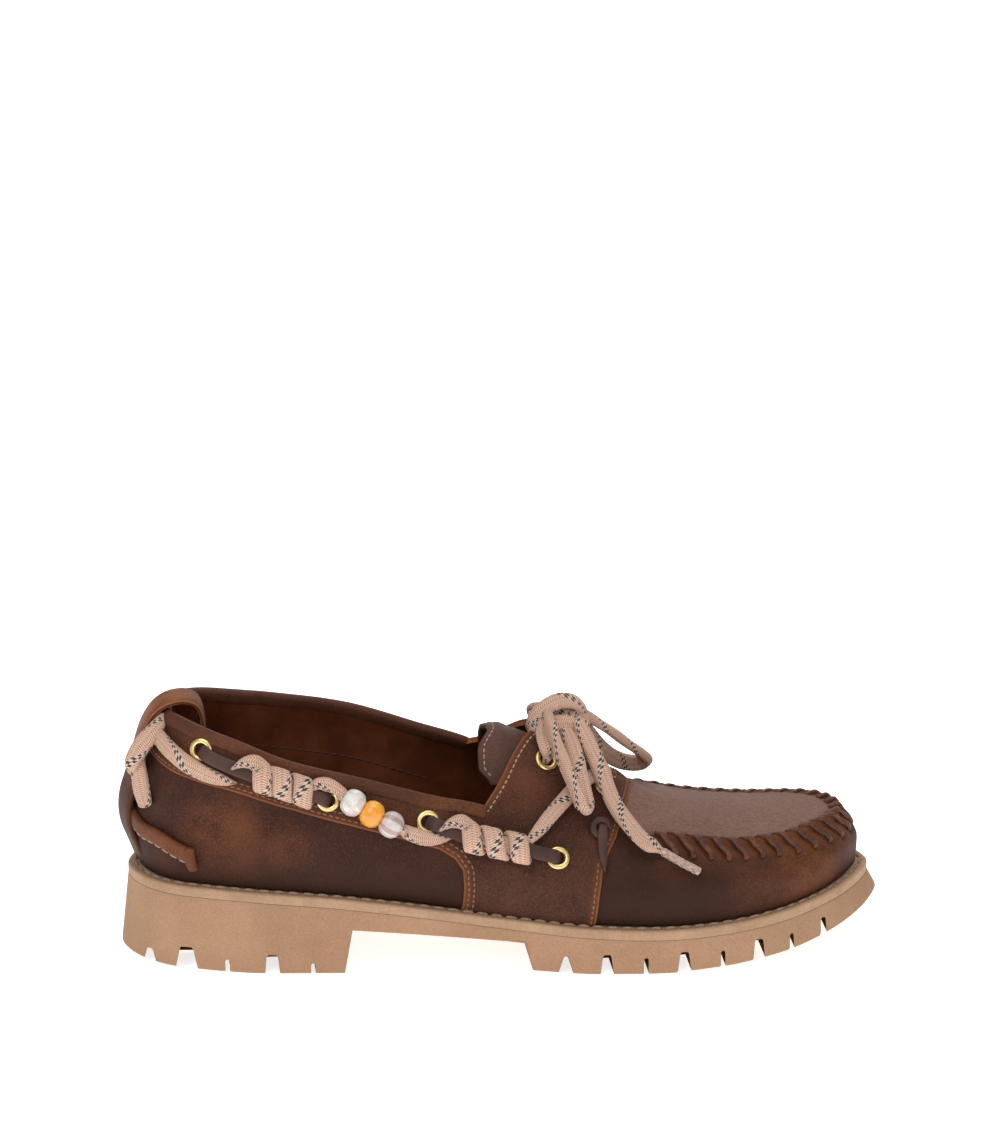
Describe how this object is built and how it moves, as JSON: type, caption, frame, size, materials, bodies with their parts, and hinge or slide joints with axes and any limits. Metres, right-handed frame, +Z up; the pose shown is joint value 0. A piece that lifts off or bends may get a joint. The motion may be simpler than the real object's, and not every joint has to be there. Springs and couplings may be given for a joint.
{
  "type": "lace-up loafer",
  "caption": "Right lace-up moccasin loafer in waxed leather on a lugged rubber sole, with a lace run through side eyelets, beads and a front bow.",
  "frame": {"origin": "middle of the shoe's bounding box in plan, at the floor that it stands on", "axes": "+X to the toe, +Y to the inner (medial) side of the foot, +Z up"},
  "size_m": [0.2931, 0.1057, 0.1003],
  "materials": {
    "sole": "matt moulded rubber",
    "welt": "matt, stitched along its top",
    "upper": "waxed leather, worn lighter in patches",
    "lining": "smooth leather lining",
    "strap": "waxed leather with raw edges",
    "lace": "woven flat lace with dark tracer threads",
    "thong": "rawhide thong",
    "brass": "polished",
    "marble": "polished",
    "amber": "glossy",
    "crystal": "clear"
  },
  "bodies": {
    "root": {"outsole": "sole", "welt": "welt", "insole": "lining", "upper": "upper", "tongue": "upper", "heel_strap": "strap", "heel_band": "strap", "eyelet_rear_lateral": "brass", "eyelet_rear_medial": "brass", "eyelet_middle_lateral": "brass", "eyelet_middle_medial": "brass", "eyelet_front_lateral": "brass", "eyelet_front_medial": "brass", "eyelet_side_lateral": "brass", "eyelet_side_medial": "brass", "eyelet_top_lateral": "brass", "eyelet_top_medial": "brass", "eyelet_low_lateral": "brass", "eyelet_low_medial": "brass", "lace_wrap_rear_lateral": "lace", "lace_wrap_front_lateral": "lace", "thong_rear_lateral": "thong", "thong_front_lateral": "thong", "lace_side_lateral": "lace", "lace_run_lateral": "lace", "lace_tie_lateral": "lace", "lace_wrap_rear_medial": "lace", "lace_wrap_front_medial": "lace", "thong_rear_medial": "thong", "thong_front_medial": "thong", "lace_side_medial": "lace", "lace_run_medial": "lace", "lace_tie_medial": "lace", "bead_marble": "marble", "bead_amber": "amber", "bead_crystal": "crystal", "lace_heel": "lace", "lace_twist": "lace", "lace_bar": "lace", "bow_knot": "lace", "lace_loop_lateral": "lace", "lace_end_lateral": "lace", "lace_loop_medial": "lace", "lace_end_medial": "lace"}
  },
  "joints": []
}
